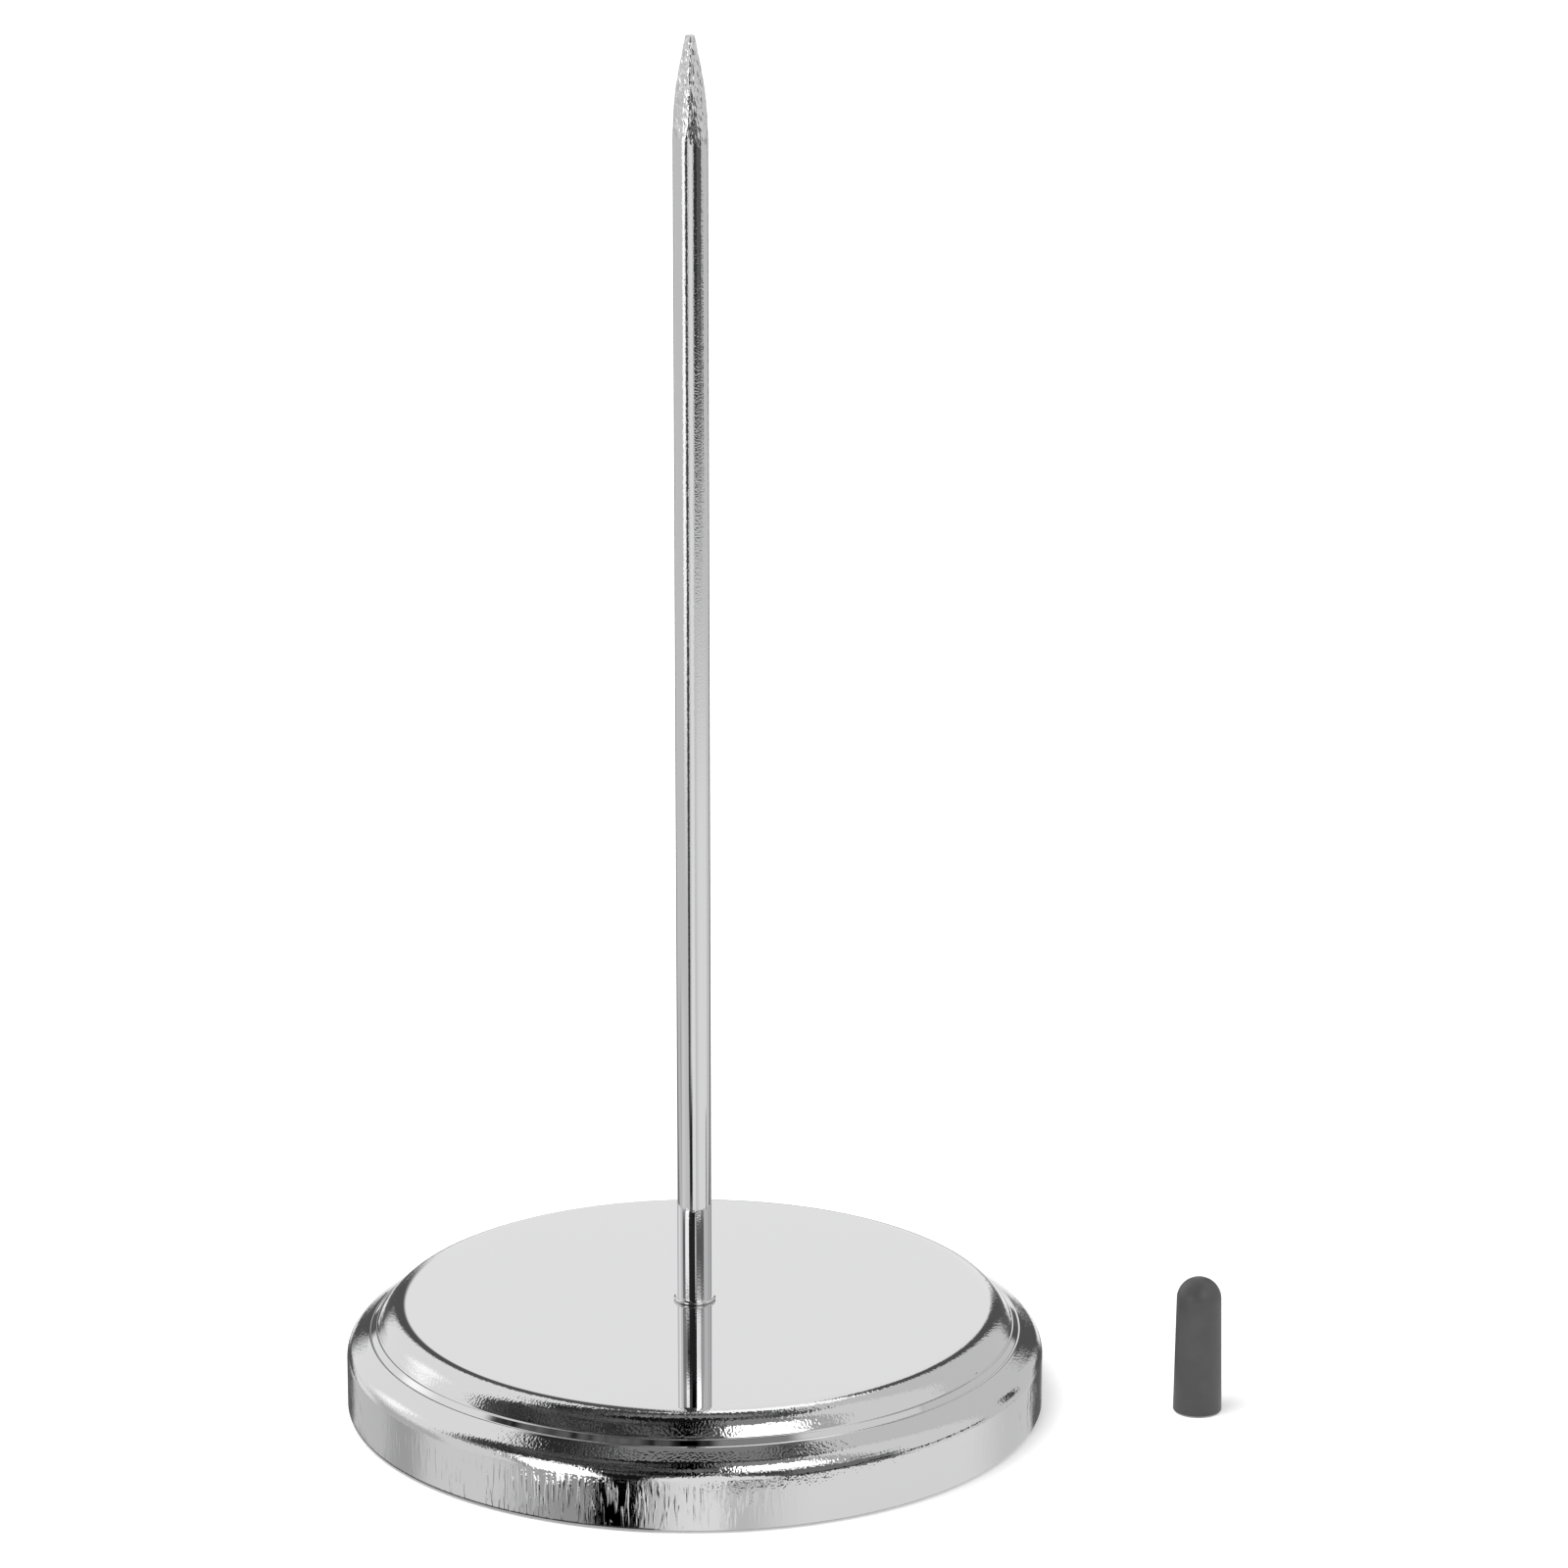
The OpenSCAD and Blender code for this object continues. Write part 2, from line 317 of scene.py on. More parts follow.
def pressed_chrome(finish, shell):
    """Decorative chrome on pressed steel: a mirror on the flat plate, orange peel on the rounds, where
    the sheet was stretched, and upright draw marks on the wall, deepest on the die's worn side."""
    material, tree, place = new_material("chrome_plate_on_pressed_steel")
    height = add_node(tree, "ShaderNodeSeparateXYZ", (place,), "Z")

    # Draw marks, down the wall and on the worn side
    side = add_node(tree, "ShaderNodeVectorMath", (place, WORN_SIDE), "Value", operation="DOT_PRODUCT")
    radius = shell.wall_radius
    worn = add_node(tree, "ShaderNodeMapRange", (side, 0.84 * radius, 0.98 * radius, 0.18, 1.0), **SMOOTH)
    start, full = wall_top(shell) + 0.3 * MM, wall_top(shell) - 1.9 * MM
    on_wall = add_node(tree, "ShaderNodeMapRange", (height, start, full), **SMOOTH)
    strokes = grain(tree, place, finish.draw_width, (1, 1, 0.12), 1.5, 0.6)
    marks = add_node(tree, "ShaderNodeMapRange", (strokes, 0.48, 0.66), **SMOOTH)
    where = add_node(tree, "ShaderNodeMath", (on_wall, worn), operation="MULTIPLY")
    marks = add_node(tree, "ShaderNodeMath", (marks, where), operation="MULTIPLY")
    drawn = add_node(tree, "ShaderNodeBump", {"Height": marks, "Distance": finish.draw_depth})

    # Orange peel, next to none on the plate and none on the band
    edge = SHELL_TOP.z - shell.crown
    off_plate = add_node(tree, "ShaderNodeMapRange", (height, edge, edge - 0.3 * MM, 0.004), **SMOOTH)
    band = (shell.band_height + shell.band_foot) / 2
    above = add_node(tree, "ShaderNodeMapRange", (height, band + 0.4 * MM, band + 0.65 * MM), **SMOOTH)
    below = add_node(tree, "ShaderNodeMapRange", (height, band - 0.4 * MM, band - 0.65 * MM), **SMOOTH)
    off_band = add_node(tree, "ShaderNodeMath", (above, below), operation="ADD")
    peel = grain(tree, place, finish.peel_width, detail=0.0)
    peel = add_node(tree, "ShaderNodeMath", (peel, off_band), operation="MULTIPLY")
    peel = add_node(tree, "ShaderNodeMath", (peel, off_plate), operation="MULTIPLY")
    bumps = {"Height": peel, "Distance": finish.peel_depth, "Normal": drawn}
    normal = add_node(tree, "ShaderNodeBump", bumps)
    return bare_metal(material, finish.chrome, POLISHED, normal)


def drawn_chrome(finish):
    """Decorative chrome on drawn rod: a mirror with faint lines along the rod, and fine pimples that
    grow towards the ground point."""
    material, tree, place = new_material("chrome_plate_on_drawn_rod")
    lines = grain(tree, place, 0.5 * MM, (1, 1, 0.02))
    drawn = add_node(tree, "ShaderNodeBump", {"Height": lines, "Distance": 0.003 * MM})
    height = add_node(tree, "ShaderNodeSeparateXYZ", (place,), "Z")
    span = (height, 0.25 * SPIKE_TOP.z, 0.7 * SPIKE_TOP.z, 0.1, 1.0)
    rough = add_node(tree, "ShaderNodeMapRange", span, **SMOOTH)
    pimples = grain(tree, place, 0.2 * MM, detail=0.0)
    pimples = add_node(tree, "ShaderNodeMath", (pimples, rough), operation="MULTIPLY")
    bumps = {"Height": pimples, "Distance": 0.01 * MM, "Normal": drawn}
    normal = add_node(tree, "ShaderNodeBump", bumps)
    return bare_metal(material, finish.chrome, POLISHED, normal)


def ground_chrome(finish):
    """Decorative chrome over ground faces: the plate follows the grinding flakes, so it glitters."""
    material, tree, place = new_material("chrome_plate_on_ground_faces")
    flakes = grain(tree, place, 0.5 * MM, (1, 1, 0.35), 1.5, 0.6)
    normal = add_node(tree, "ShaderNodeBump", {"Height": flakes, "Distance": 0.29 * MM})
    return bare_metal(material, finish.chrome, 2 * POLISHED, normal)


def cast_iron(finish):
    """Sand-cast iron: dark and dull, with the pits and grains of the sand mould."""
    material, tree, place = new_material("sand_cast_iron")
    sand = grain(tree, place, 0.7 * MM, detail=4.0, rough=0.65)
    patches = grain(tree, place, 5 * MM)
    roughness = add_node(tree, "ShaderNodeMapRange", (patches, 0.3, 0.7, 0.55, 0.75), **SMOOTH)
    pit = [0.55 * c for c in finish.cast_iron]
    mixed = {"Factor": sand, "A": (*finish.cast_iron, 1), "B": (*pit, 1)}
    settings = {
        "Base Color": add_node(tree, "ShaderNodeMix", mixed, "Result", data_type="RGBA"),
        "Metallic": 0.7,
        "Roughness": roughness,
        "Normal": add_node(tree, "ShaderNodeBump", {"Height": sand, "Distance": 0.15 * MM}),
    }
    return surfaced(material, settings)


def tumbled_steel(tint, name, roughness):
    """Barrel-plated or tempered steel: satin, with fine tumbling marks that a mirror would not have."""
    material, tree, place = new_material(name)
    marks = grain(tree, place, 0.25 * MM, detail=3.0)
    clouds = grain(tree, place, 2 * MM)
    span = (clouds, 0.3, 0.7, roughness - 0.06, roughness + 0.08)
    cloudy = add_node(tree, "ShaderNodeMapRange", span, **SMOOTH)
    normal = add_node(tree, "ShaderNodeBump", {"Height": marks, "Distance": 0.008 * MM})
    return bare_metal(material, tint, cloudy, normal)


def moulded_rubber(finish):
    """Moulded rubber: near black and matt, with a fine pebbled skin that grips."""
    material, tree, place = new_material("moulded_rubber")
    pebbles = grain(tree, place, 0.4 * MM)
    dust = grain(tree, place, 7 * MM)
    settings = {
        "Base Color": (*finish.rubber, 1),
        "Roughness": add_node(tree, "ShaderNodeMapRange", (dust, 0.35, 0.7, 0.8, 0.95), **SMOOTH),
        "IOR": 1.52,
        "Normal": add_node(tree, "ShaderNodeBump", {"Height": pebbles, "Distance": 0.03 * MM}),
    }
    return surfaced(material, settings)


def soft_vinyl(tint, name, roughness):
    """Dipped soft vinyl: an even satin skin with a very slight ripple from the dip."""
    material, tree, place = new_material(name)
    ripple = grain(tree, place, 2.2 * MM, (1, 1, 0.5), 1.0)
    fine = grain(tree, place, 0.25 * MM)
    clouds = grain(tree, place, 3 * MM)
    cloud = add_node(tree, "ShaderNodeMapRange", (clouds, 0.35, 0.65), **SMOOTH)
    mixed = {"Factor": cloud, "A": (*tint, 1), "B": (*[0.88 * c for c in tint], 1)}
    dipped = add_node(tree, "ShaderNodeBump", {"Height": ripple, "Distance": 0.02 * MM})
    bumps = {"Height": fine, "Distance": 0.003 * MM, "Normal": dipped}
    settings = {
        "Base Color": add_node(tree, "ShaderNodeMix", mixed, "Result", data_type="RGBA"),
        "Roughness": roughness,
        "IOR": 1.53,
        "Normal": add_node(tree, "ShaderNodeBump", bumps),
    }
    return surfaced(material, settings)


# Outlines, in the half plane of a lathe

# Steps of the plate's crown, and of the arcs
PLATE_STEPS = 16
ROUND_STEPS = 28
RIM_STEPS = 12
INNER_STEPS = 8
BEAD_STEPS = 14
DOME_STEPS = 20
EDGE_STEPS = 6


def flank_foot(shell):
    """Where the lower flank runs into the round above the wall, as (radius, height)."""
    radius = shell.wall_radius - shell.lower_round * (1 - sin(shell.lower_slope))
    out = radius - (shell.wall_radius - shell.step_width)
    return radius, shell.band_foot - out * tan(shell.lower_slope)


def wall_top(shell):
    """Height at which the wall runs into its round."""
    return flank_foot(shell)[1] - shell.lower_round * cos(shell.lower_slope)


def flank_top(shell, plate):
    """Where the round at the edge of a plate of that height runs into the upper flank."""
    height = plate - shell.upper_round * (1 - cos(shell.upper_slope))
    band = shell.wall_radius - shell.step_width - shell.band_width
    return band - (height - shell.band_height) / tan(shell.upper_slope), height


def rounded(points, cut, steps=4):
    """The points of a line, with each inner corner cut back a little and rounded."""
    made = [points[0]]
    for before, corner, after in zip(points, points[1:], points[2:]):
        before, corner, after = Vector(before), Vector(corner), Vector(after)
        start = corner + (before - corner).normalized() * cut
        end = corner + (after - corner).normalized() * cut
        for k in range(steps + 1):
            t = k / steps
            made.append(tuple((1 - t) ** 2 * start + 2 * t * (1 - t) * corner + t**2 * end))
    return made + [points[-1]]


def pressed_rounds(shell, inset, plate, steps):
    """The round at the edge of the plate and the one above the wall, set in by a distance."""
    top_radius, top_height = flank_top(shell, plate)
    upper = (
        top_radius - shell.upper_round * sin(shell.upper_slope),
        top_height - shell.upper_round * cos(shell.upper_slope),
    )
    lower = (shell.wall_radius - shell.lower_round, wall_top(shell))
    return (
        arc(upper, shell.upper_round - inset, 90, 90 - degrees(shell.upper_slope), steps),
        arc(lower, shell.lower_round - inset, 90 - degrees(shell.lower_slope), 0, steps),
    )


def shell_outline(shell):
    """Both sides of the pressed sheet, from the rod's hole out over the plate, down, and back inside."""
    top, sheet, rim = SHELL_TOP.z, shell.sheet, shell.sheet / 2
    band_foot = shell.wall_radius - shell.step_width
    band = band_foot - shell.band_width
    upper, lower = pressed_rounds(shell, 0, top - shell.crown, ROUND_STEPS)
    plate = upper[0][0]
    points = [(shell.hole_radius, top)]
    for k in range(1, PLATE_STEPS):
        points += [(plate * k / PLATE_STEPS, top - shell.crown * (k / PLATE_STEPS) ** 3)]
    points += upper[:-1]
    corners = [(band, shell.band_height), (band + shell.ledge_width, shell.band_height)]
    corners += [(band_foot - shell.ledge_width, shell.band_foot), (band_foot, shell.band_foot)]
    points += rounded([upper[-1], *corners, lower[0]], shell.ledge_round)
    points += lower[1:]
    points += arc((shell.wall_radius - rim, SHELL_LOW.z + rim), rim, 0, -180, RIM_STEPS)

    # Inside, where the flanks meet in a plain corner
    upper, lower = pressed_rounds(shell, sheet, top, INNER_STEPS)
    rise, fall = tan(shell.upper_slope), tan(shell.lower_slope)
    (high_radius, high), (low_radius, low) = upper[-1], lower[0]
    meeting = (high - low + high_radius * rise - low_radius * fall) / (rise - fall)
    points += lower[::-1]
    points += [(meeting, high - (meeting - high_radius) * rise)]
    points += upper[::-1]
    points += [(shell.hole_radius, top - sheet)]
    return points


def collar_outline(rod):
    """A small bead, clamped between the plate and the rod's shoulder."""
    low, high = COLLAR_LOW.z, COLLAR_TOP.z
    side = (high - low) / 2
    points = [(rod.collar_hole, low)]
    points += arc((rod.lip_radius - side, low + side), side, -90, 90, BEAD_STEPS)
    return points + [(rod.collar_hole, high)]


def disc_outline():
    """The moulded disc, with shallow rings on its underside that grip the counter."""
    rings, depth, slope, width, edge = 9, 0.15 * MM, 0.3 * MM, 1.2 * MM, 0.25 * MM
    radius, low, high = DISC_TOP.x, DISC_LOW.z, DISC_TOP.z
    first, last = 0.3 * radius, radius - 1.5 * MM
    pitch = (last - first) / rings
    points = [(0, low)]
    for k in range(rings):
        start = first + k * pitch
        points += [(start, low), (start + slope, low + depth)]
        points += [(start + width - slope, low + depth), (start + width, low)]
    points += arc((radius - edge, low + edge), edge, -90, 0, EDGE_STEPS)
    points += arc((radius - edge, high - edge), edge, 0, 90, EDGE_STEPS)
    points += [(0, high)]
    return points


def cap_outline(cap):
    """The cap, standing on its mouth: trimmed edge, tapered wall, dome, and the blind bore inside."""
    mouth = (CAP_TOP.x - CAP_LOW.x) / 2
    height, cut, bore_round = CAP_TOP.z, cap.cut_edge, 0.5 * MM
    bore_end = height - cap.crown
    dome_centre = height - cap.dome_radius
    points = [(cap.bore_radius + cap.flare, 0), (mouth - cut, 0), (mouth - 0.2 * cut, cut)]
    points += arc((0, dome_centre), cap.dome_radius, 0, 90, DOME_STEPS)[:-1] + [(0, height)]
    points += [(0, bore_end)]
    points += arc((cap.bore_radius - bore_round, bore_end - bore_round), bore_round, 90, 0, EDGE_STEPS)
    points += [(cap.bore_radius, cap.flare_length)]
    return points


# The rod's point

POINT_SIDE_STEPS = 24
POINT_RING = 0.1 * MM
FACE_SLOPE = 0.143
# Higher is sharper: the edges between the ground faces
EDGE_POWER = 9
# Power with which the square section blends into the round one
POINT_BLEND = 6
# How often and how deep the faces ripple, since they were ground by hand
RIPPLES = ((2.1, 0.03 * MM), (6.0, 0.012 * MM))
# Ripples for each mm up the faces, against one round the rod
RIPPLE_STRETCH = 0.35
# Where the square section starts to turn round and where it is round, as shares of the point's length
TURNS_ROUND = (0.82, 1.04)
# How far up and down the ground faces end on the shaft
SCALLOP = 0.9 * MM
# How often their edge is ragged, in each mm
RAGGED = 1.7
# Depth and crest of a metric thread, as shares of its pitch
THREAD_DEPTH = 0.54
THREAD_CREST = (0.44, 0.56)
PLAIN_NECK = 2 * MM


def square_radius(from_side):
    """Radius of a unit square with rounded edges, at an angle from the middle of a side."""
    return (abs(cos(from_side)) ** EDGE_POWER + abs(sin(from_side)) ** EDGE_POWER) ** (-1 / EDGE_POWER)


def point_ring(rod, below_tip):
    """Outline of the point at a depth below the tip, as (radius, angle): a square that turns round
    towards the shaft. The faces were ground by hand, so they ripple a little."""
    face = rod.tip_half + FACE_SLOPE * below_tip
    # A square with rounded edges, whose corners stay where sharp ones would be
    at_corner = 2**0.5 * square_radius(radians(45)) ** -1
    into_shaft = smooth_step(below_tip / rod.point_length, *TURNS_ROUND)
    points = []
    for k in range(4 * POINT_SIDE_STEPS):
        from_side = radians(90) * ((k % POINT_SIDE_STEPS) / POINT_SIDE_STEPS - 0.5)
        turn = rod.point_turn + radians(90) * (k // POINT_SIDE_STEPS) + from_side
        spot = Vector((cos(turn), sin(turn), below_tip / MM * RIPPLE_STRETCH))
        ripple = sum(noise.noise(spot * often) * depth for often, depth in RIPPLES)
        flat = at_corner * (face + ripple * min(1, below_tip / MM)) * square_radius(from_side)
        blended = (flat**-POINT_BLEND + rod.radius**-POINT_BLEND) ** (-1 / POINT_BLEND)
        points.append((blended + (rod.radius - blended) * into_shaft, turn))
    return points


def spike_mesh(rod):
    """The whole rod: threaded foot, shoulder, shaft and four-sided point with a small blunt end."""
    bm = bmesh.new()
    steps = 4 * POINT_SIDE_STEPS
    even = [rod.point_turn + radians(90) * (k / POINT_SIDE_STEPS - 0.5) for k in range(steps)]
    shoulder = COLLAR_TOP.z

    # Thread as closed V grooves, at the real pitch
    root = rod.foot_radius - THREAD_DEPTH * rod.thread_pitch
    turns = int((shoulder - PLAIN_NECK - SPIKE_LOW.z) / rod.thread_pitch)
    profile = []
    for k in range(turns):
        low = SPIKE_LOW.z + k * rod.thread_pitch
        profile += [(root, low)]
        profile += [(rod.foot_radius, low + crest * rod.thread_pitch) for crest in THREAD_CREST]
    profile += [(rod.foot_radius, SPIKE_LOW.z + turns * rod.thread_pitch)]
    profile += [(rod.foot_radius, shoulder), (rod.radius, shoulder)]

    rings = [[bm.verts.new((0, 0, SPIKE_LOW.z))]]
    rings += [add_ring(bm, [(radius, a) for a in even], height) for radius, height in profile]
    for k in range(ceil(1.1 * rod.point_length / POINT_RING), -1, -1):
        rings.append(add_ring(bm, point_ring(rod, k * POINT_RING), SPIKE_TOP.z - k * POINT_RING))
    rings.append([bm.verts.new((0, 0, SPIKE_TOP.z))])
    skin_rings(bm, rings)

    # The ground faces end in scallops with a ragged edge
    for face in bm.faces:
        middle = face.calc_center_median()
        ragged = noise.noise(middle / MM * RAGGED) * SCALLOP
        end = SPIKE_TOP.z - rod.point_length + ragged + SCALLOP * sin(2 * atan2(middle.y, middle.x))
        face.material_index = int(middle.z > end)
    return bm


# Studio

# Panels of the light tent as the base mirrors them, and last the cards on the rail round it, at the
# height that plate and rod mirror together: name, azimuth from the camera to the right, half width,
# lowest and highest elevation, brightness, softness of the edge, all angles in degrees, and how far
# the panel leans, in degrees of azimuth for each degree of elevation
TENT_PANELS = (
    ("pale middle of the roof", 180, 102, 77, 95, 0.25, 6, 0),
    ("black edge of the roof", -14, 66, 71, 88, 0.01, 4, 0),
    ("black fold of the dark cloth", -82, 20, 60, 71, 0.03, 5, -0.5),
    ("right wall", 74, 30, -22, 66, 0.80, 4, 0),
    ("right wall, rear part", 127, 24, -22, 71, 0.67, 4, 0),
    ("back wall", 180, 17, -22, 60, 0.97, 4, 0),
    ("roof light at the rear", 170, 22, 52, 65, 1.35, 5, 0),
    ("left wall", -114.5, 36, -22, 61, 0.93, 6, -0.35),
    ("lower part of the left wall", -106, 20, -22, 6, 0.55, 12, 0),
    ("bright fold in the left wall", -119, 8, 15, 31, 1.3, 8, 0),
    ("pale wall at the left front", -74, 15, -22, 24, 0.80, 8, -0.2),
    ("gap at the right rear", 155.5, 7.5, -22, 50, 0.10, 4, 0.08),
    ("gap at the left rear", -160.5, 7, -22, 62, 0.10, 4, -0.19),
    ("grey end of the right wall", 52, 8, 15, 56, 0.50, 6, 0),
    ("glow over the softbox", 34, 21, 52, 76, 0.28, 10, 0),
    ("softbox at the right front", 30, 15.5, 16.5, 51, 2.2, 5, 0),
    ("counter under the softbox", 50, 19, -22, 13, 0.19, 6, -0.2),
    ("black edge of the counter", 84, 24, -9, -4, 0.02, 3, 0),
    ("black edge of the counter, front", 87, 5, -22, -7, 0.0, 3, 2.9),
    ("paper towards the camera", 6, 5, -22, 10, 0.93, 4, 0),
    ("paper towards the camera, nearer", 5, 13, -22, 2, 0.93, 5, 0),
    ("paper towards the camera, near", 5, 20, -22, -6, 0.93, 5, 0),
    ("paper towards the camera, nearest", 3, 26, -22, -14, 0.93, 5, 0),
    ("black column of the stand", -3, 7, 44, 76, 0.0, 5, 0),
    ("grey column of the stand", 2, 7, 28, 45, 0.17, 5, 0),
    ("black bar of the stand", -4, 12, 12, 28, 0.0, 4, 0),
    ("black floor of the dark room", -22, 9, -22, 6, 0.01, 4, 0),
    ("softbox at the left", -43.5, 11.5, -22, 25, 2.2, 5, -0.2),
    ("rail: dark strip", -76, 11, 18.3, 21.4, 0.20, 1.2, 0),
    ("rail: white strip", -53, 12, 18.3, 21.4, 1.5, 1.2, 0),
    ("rail: black card", -19, 20, 18.3, 21.4, 0.03, 1.2, 0),
    ("rail: white cord", 8, 4, 18.3, 21.4, 0.95, 1.2, 0),
    ("rail: grey card under the softbox", 39, 27, 18.3, 21.4, 0.165, 1.2, 0),
    ("upper rail: dark strip", -67, 20, 21.4, 23.6, 0.29, 1.2, 0),
    ("upper rail: black card", -18, 32, 21.4, 23.6, 0.025, 1.2, 0),
    ("upper rail: white card", 29, 12, 21.4, 23.6, 1.25, 1.2, 0),
    ("upper rail: grey card", 56, 14, 21.4, 23.6, 0.55, 1.2, 0),
)
# Brightness of the dark cloth and of its deepest folds
DARK_ROOM = 0.075
DEEPEST_FOLD = 0.01
# Creases of the dark cloth: how much they fall for each degree to the right, how many times as long as
# wide they are, and the width in degrees and the strength of the coarse and the fine ones
CREASE_FALL = 0.35
CREASE_LENGTH = 7
CREASES = ((2.6, 0.1), (1.6, 0.07))

# Cards on the floor: name, azimuth, half width in degrees, nearest and furthest distance from the rod
# in metres, brightness, and softness of the edges in degrees and in metres
FLOOR_CARDS = (
    ("white paper towards the camera", 0, 12, 0.0, 2.0, 0.93, 8, 0.02),
    ("grey step at the right", 18, 6, 0.0, 0.062, 0.62, 8, 0.01),
    ("pale paper at the left", -78, 18, 0.0, 0.15, 0.77, 20, 0.05),
    ("grey paper at the left rear", -134, 24, 0.0, 0.15, 0.61, 16, 0.05),
    ("grey card at the left rear", -110, 9, 0.0, 0.15, 0.44, 13, 0.05),
    ("shade at the left front", -34, 20, 0.0, 0.062, 0.36, 30, 0.01),
    ("bright paper at the right", 70, 44, 0.0, 0.30, 0.90, 30, 0.16),
    ("paper under the low softbox", -47, 9, 0.30, 2.0, 1.35, 6, 0.26),
    ("black strip at the left front", -24, 8, 0.0, 0.060, 0.0, 4, 0.004),
    ("black strip, farther out", -20, 10, 0.062, 0.115, 0.015, 5, 0.03),
    ("dark strip at the left front", -27.5, 7, 0.10, 2.0, 0.07, 5, 0.03),
    ("gap beyond the paper", 46, 27, 0.45, 2.0, 0.12, 10, 0.20),
    ("black edge of the gap", 31, 10, 0.50, 2.0, 0.04, 8, 0.20),
    ("black edge at the right", 68, 6, 0.57, 0.72, 0.10, 6, 0.05),
    ("black edge at the right, nearer", 84, 8, 0.47, 0.60, 0.14, 6, 0.05),
    ("gap at the right rear", 160, 11, 0.0, 2.0, 0.12, 5, 0.06),
    ("gap at the left rear", -165, 11, 0.0, 2.0, 0.12, 5, 0.06),
    ("shade under the left rim", -82, 72, 0.0, 0.0415, 0.06, 4, 0.0005),
    ("foot of the softbox at the left", -37, 8, 0.0572, 0.062, 2.0, 4, 0.0006),
    ("foot of the counter at the right", 46, 20, 0.0576, 0.062, 0.22, 12, 0.0006),
    ("black edge at the counter's foot", 13, 7, 0.0552, 0.0568, 0.0, 4, 0.0004),
    ("black edge at the counter's foot", 25, 7, 0.0559, 0.0575, 0.0, 4, 0.0004),
    ("black edge at the counter's foot", 37, 7, 0.0565, 0.0581, 0.0, 4, 0.0004),
)
# Brightness of the floor between the cards, and the distance from the rod up to which a card lies
# where the wall mirrors its azimuth
BARE_FLOOR = 0.68
NEAR_WALL = 0.062


def around(point):
    """Azimuth of a point in degrees: 0 towards the camera, growing to the right."""
    return degrees(atan2(point.x, -point.y))


# How often the span is halved in which the wall's normal is sought
HALVINGS = 20


def mirrored_azimuth(point):
    """Azimuth at which the wall of the base, seen from the camera, mirrors a point near its foot."""
    side = abs(around(point))
    low, high = 0.0, side
    place = Vector((sin(radians(side)), -cos(radians(side)))) * point.xy.length
    for _ in range(HALVINGS):
        middle = (low + high) / 2
        normal = Vector((sin(radians(middle)), -cos(radians(middle))))
        leaving = Vector((sin(radians(2 * middle)), -cos(radians(2 * middle))))
        beyond = leaving.cross(place - normal * SHELL_TOP.x)
        low, high = (middle, high) if beyond > 0 else (low, middle)
    return 2 * low if point.x > 0 else -2 * low


def off_azimuth(azimuth, middle):
    """How many degrees an azimuth is off a middle one, the short way round."""
    return abs((azimuth - middle + 180) % 360 - 180)


def within(value, low, high, soft):
    """1 between low and high and 0 outside, with edges of that softness."""
    return smooth_step(value - low, -soft / 2, soft / 2) * smooth_step(high - value, -soft / 2, soft / 2)


def crease(azimuth, elevation, width):
    """Creases that run down to the right across the dark cloth."""
    across = (elevation + CREASE_FALL * azimuth) / width
    return noise.noise(Vector((azimuth / (CREASE_LENGTH * width), across, width)))


def tent_level(azimuth, elevation):
    """Brightness of the tent in a direction, where 1 is white."""
    creases = sum(strength * crease(azimuth, elevation, width) for width, strength in CREASES)
    level = max(DEEPEST_FOLD, DARK_ROOM + creases)
    for _, middle, half, low, high, bright, soft, lean in TENT_PANELS:
        off = off_azimuth(azimuth, middle + lean * elevation)
        inside = within(off, -half, half, soft) * within(elevation, low, high, soft)
        level += (bright - level) * inside
    return level


def floor_level(point):
    """Brightness of the floor as metal sees it, where 1 is white. Near the base and behind it, a card
    lies where the wall mirrors its azimuth."""
    distance = point.xy.length
    azimuth = mirrored_azimuth(point) if distance < NEAR_WALL or point.y > 0 else around(point)
    level = BARE_FLOOR
    for _, middle, half, near, far, bright, soft, fade_length in FLOOR_CARDS:
        off = off_azimuth(azimuth, middle)
        inside = within(off, -half, half, soft) * within(distance, near, far, fade_length)
        level += (bright - level) * inside
    return level


def paint_levels(bm, level_at):
    layer = bm.verts.layers.float.new("level")
    for vert in bm.verts:
        vert[layer] = level_at(vert.co)


def lit_cloth():
    """White cloth lit from outside, as bright as its mesh says."""
    material, tree, _ = new_material("lit_cloth")
    level = add_node(tree, "ShaderNodeAttribute", output="Fac", attribute_name="level")
    surface = add_node(tree, "ShaderNodeEmission", {"Strength": level})
    add_node(tree, "ShaderNodeOutputMaterial", {"Surface": surface})
    return material


def stage_object(name, bm, material):
    """An object of the studio."""
    mesh = bpy.data.meshes.new(name)
    bm.to_mesh(mesh)
    bm.free()
    mesh.materials.append(material)
    made = bpy.data.objects.new(name, mesh)
    bpy.context.scene.collection.objects.link(made)
    return made


def mirrored_cloth(name, bm):
    """Lit cloth that only the gloss of the object sees."""
    cloth = stage_object(name, bm, lit_cloth())
    cloth.visible_camera = False
    cloth.visible_diffuse = False
    cloth.visible_shadow = False
    cloth.visible_transmission = False


# Directions of the vertices of tent, cards and low ring
CIRCLE = [radians(1.5 * k) for k in range(240)]
# Steps of the tent in elevation, in degrees
TENT_STEP = 0.75


